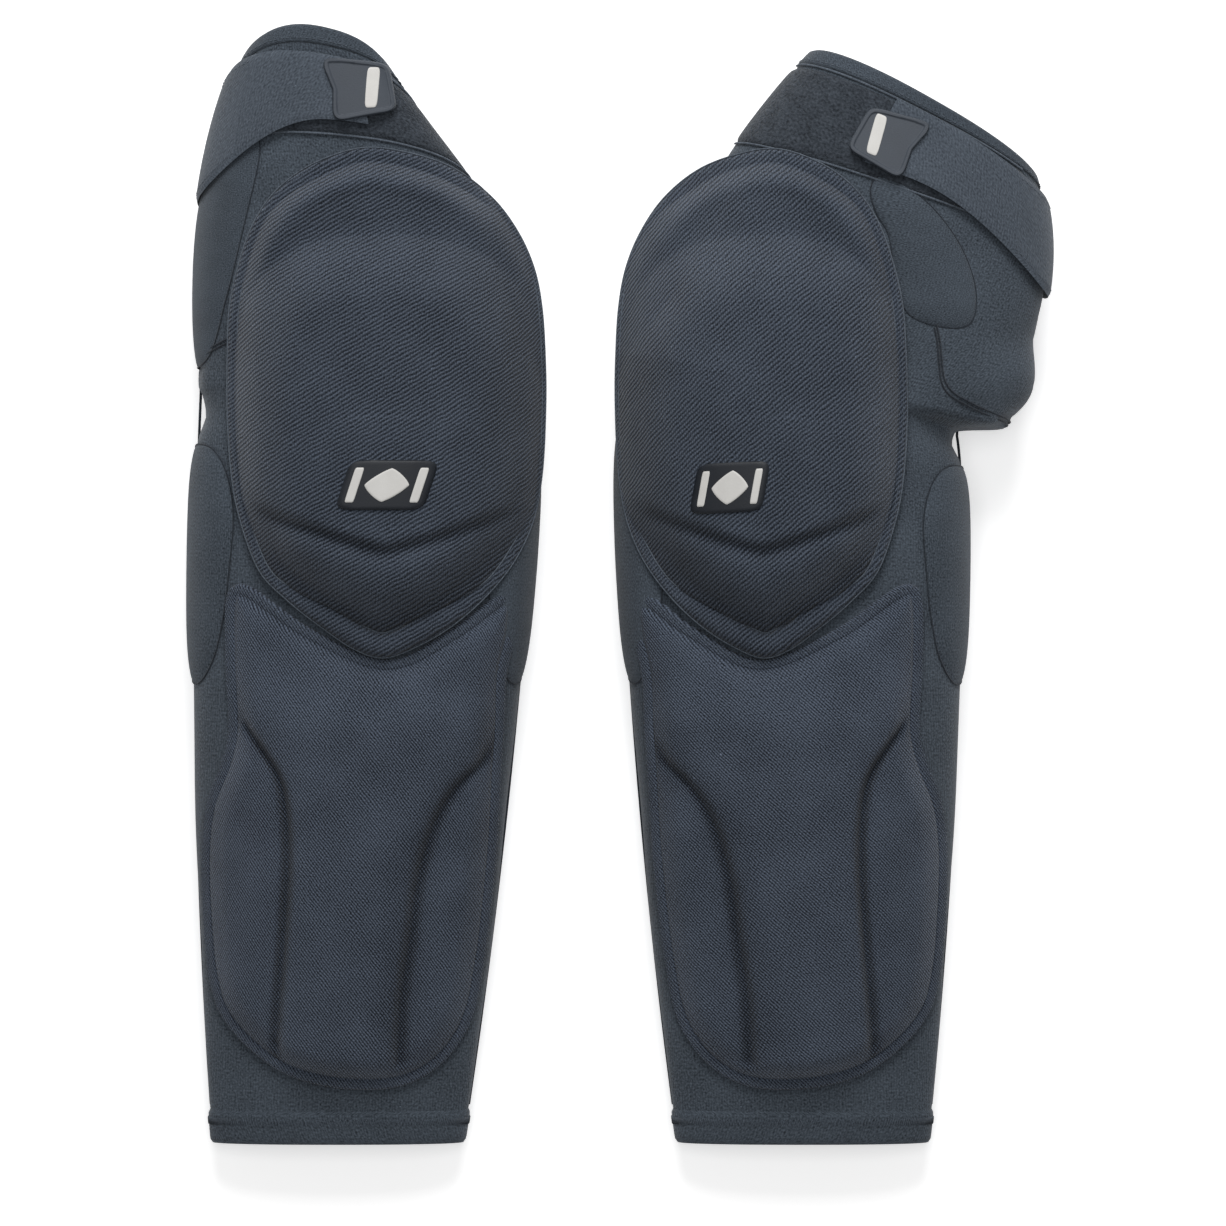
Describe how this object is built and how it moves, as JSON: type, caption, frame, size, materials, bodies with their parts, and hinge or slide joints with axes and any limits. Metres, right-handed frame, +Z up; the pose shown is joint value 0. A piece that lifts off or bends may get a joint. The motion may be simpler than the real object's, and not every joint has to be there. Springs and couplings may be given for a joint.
{
  "type": "knee and shin guards",
  "caption": "Soft sleeve knee and shin guards with moulded knee cups, padded shins, side bolsters and hook-and-loop thigh straps.",
  "frame": {"origin": "centre of the pair's plan, on the surface the two guards lie on", "axes": "+X across the pair, +Y from the hems to the thigh cuffs, +Z up out of the knee cups; left_ nodes are the guard at -X and right_ nodes the one at +X, seen from above"},
  "size_m": [0.3463, 0.4451, 0.0916],
  "materials": {
    "sleeve": "heathered knit facing on neoprene",
    "shin_twill": "fine abrasion-resistant weave, moulded",
    "cup_twill": "coarse ballistic weave, moulded",
    "foam": "closed-cell foam",
    "shell": "moulded polypropylene",
    "mesh": "open spacer mesh",
    "gripper": "silicone print",
    "loop_pile": "brushed loop pile",
    "hook": "moulded hook tape",
    "strap": "elastic knit webbing",
    "moulded_rubber": "soft moulded rubber, satin",
    "pale_inlay": "satin moulded inlay"
  },
  "bodies": {
    "left_shin": {"left_shin_front_panel": "sleeve", "left_shin_back_panel": "sleeve", "left_shin_foam": "foam", "left_shin_cover": "shin_twill", "left_shin_border": "shin_twill", "left_hem_band": "sleeve", "left_hem_gripper": "gripper", "left_outer_bolster": "sleeve", "left_inner_bolster": "sleeve", "left_back_mesh": "mesh", "left_cup_foam": "foam", "left_cup_shell": "shell", "left_cup_cover": "cup_twill", "left_cup_flange": "cup_twill", "left_badge_plate": "moulded_rubber", "left_badge_inlay": "pale_inlay"},
    "left_thigh": {"left_thigh_front_panel": "sleeve", "left_thigh_back_panel": "sleeve", "left_side_pad": "sleeve", "left_cuff_band": "sleeve", "left_cuff_gripper": "gripper", "left_loop_field": "loop_pile", "left_strap_anchor": "strap", "left_strap_bartack": "strap"},
    "left_strap_end": {"left_strap_end": "strap", "left_hook_patch": "hook", "left_strap_tab": "moulded_rubber", "left_tab_inlay": "pale_inlay"},
    "right_shin": {"right_shin_front_panel": "sleeve", "right_shin_back_panel": "sleeve", "right_shin_foam": "foam", "right_shin_cover": "shin_twill", "right_shin_border": "shin_twill", "right_hem_band": "sleeve", "right_hem_gripper": "gripper", "right_outer_bolster": "sleeve", "right_inner_bolster": "sleeve", "right_back_mesh": "mesh", "right_cup_foam": "foam", "right_cup_shell": "shell", "right_cup_cover": "cup_twill", "right_cup_flange": "cup_twill", "right_badge_plate": "moulded_rubber", "right_badge_inlay": "pale_inlay"},
    "right_thigh": {"right_thigh_front_panel": "sleeve", "right_thigh_back_panel": "sleeve", "right_side_pad": "sleeve", "right_cuff_band": "sleeve", "right_cuff_gripper": "gripper", "right_loop_field": "loop_pile", "right_strap_anchor": "strap", "right_strap_bartack": "strap"},
    "right_strap_end": {"right_strap_end": "strap", "right_hook_patch": "hook", "right_strap_tab": "moulded_rubber", "right_tab_inlay": "pale_inlay"}
  },
  "joints": [
    {"name": "pair_slide", "type": "slide", "parent": "left_shin", "child": "right_shin", "axis": [1, 0, 0], "range_m": [0, 0.25]},
    {"name": "left_knee", "type": "hinge", "parent": "left_shin", "child": "left_thigh", "pos_m": [-0.1008, 0.0785, 0.05], "axis": [-1, 0, 0], "range_deg": [0, 60], "deforming": ["left_back_mesh"]},
    {"name": "left_strap_peel", "type": "hinge", "parent": "left_thigh", "child": "left_strap_end", "pos_m": [-0.14968, 0.19021, 0.05971], "axis": [-0.1749, -0.9845, -0.011], "range_deg": [0, 110]},
    {"name": "right_knee", "type": "hinge", "parent": "right_shin", "child": "right_thigh", "pos_m": [0.0672, 0.0785, 0.05], "axis": [-0.9744, 0.225, 0], "range_deg": [0, 60], "deforming": ["right_back_mesh"]},
    {"name": "right_strap_peel", "type": "hinge", "parent": "right_thigh", "child": "right_strap_end", "pos_m": [0.15676, 0.14859, 0.05424], "axis": [0.0935, 0.9943, -0.0507], "range_deg": [0, 110]}
  ]
}
